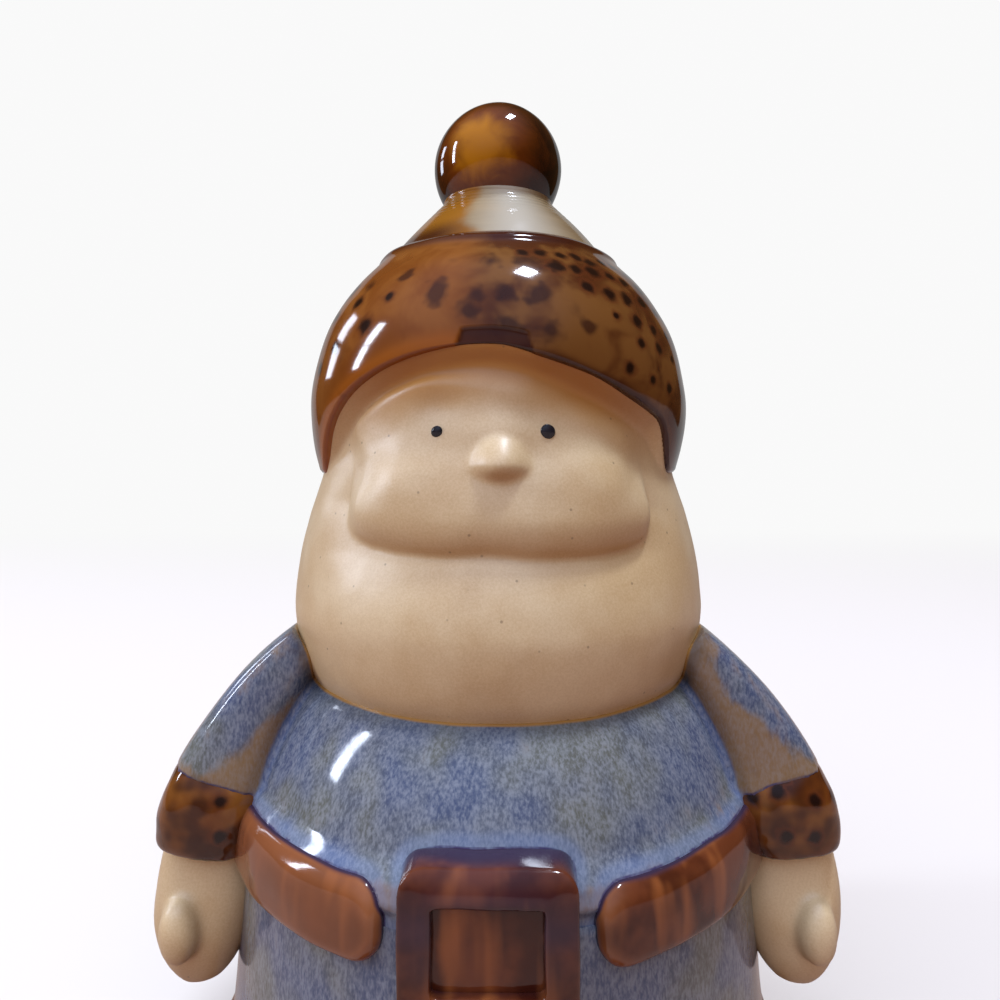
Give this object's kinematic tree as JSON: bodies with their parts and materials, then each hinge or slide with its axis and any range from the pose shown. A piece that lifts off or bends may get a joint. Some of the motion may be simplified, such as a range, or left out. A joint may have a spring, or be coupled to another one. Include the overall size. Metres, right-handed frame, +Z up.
{
  "type": "santa figurine",
  "caption": "Stout stoneware Santa with a round-tipped hat, broad beard, belted coat and boots; bare clay face, beard and hands, glazed blue and brown; stands on its flat foot as an ornament",
  "frame": {"origin": "on the floor at the middle of the flat foot, on the body's upright axis", "axes": "+Z up, the figure faces -Y, its own left side is +X"},
  "size_m": [0.122, 0.1319, 0.2019],
  "materials": {
    "bare_clay": "unglazed, fine sandy",
    "blue_glaze": "glossy mottled blue-grey glaze",
    "brown_glaze": "glossy brown glaze with dark spots",
    "amber_glaze": "glossy amber to dark brown glaze",
    "cream_glaze": "glossy translucent cream glaze",
    "black_stain": "glossy black stain"
  },
  "bodies": {
    "root": {"skirt": "blue_glaze", "hem_trim": "brown_glaze", "left_boot": "brown_glaze", "right_boot": "brown_glaze", "coat": "blue_glaze", "belt": "brown_glaze", "buckle_frame": "brown_glaze", "buckle_plate": "brown_glaze", "left_sleeve": "blue_glaze", "right_sleeve": "blue_glaze", "left_cuff": "brown_glaze", "right_cuff": "brown_glaze", "left_hand": "bare_clay", "right_hand": "bare_clay", "head": "bare_clay", "beard": "bare_clay", "hair": "bare_clay", "moustache": "bare_clay", "nose": "bare_clay", "left_eye": "black_stain", "right_eye": "black_stain", "hat_brim": "brown_glaze", "hat_crown": "cream_glaze", "pompom": "amber_glaze"}
  },
  "joints": []
}
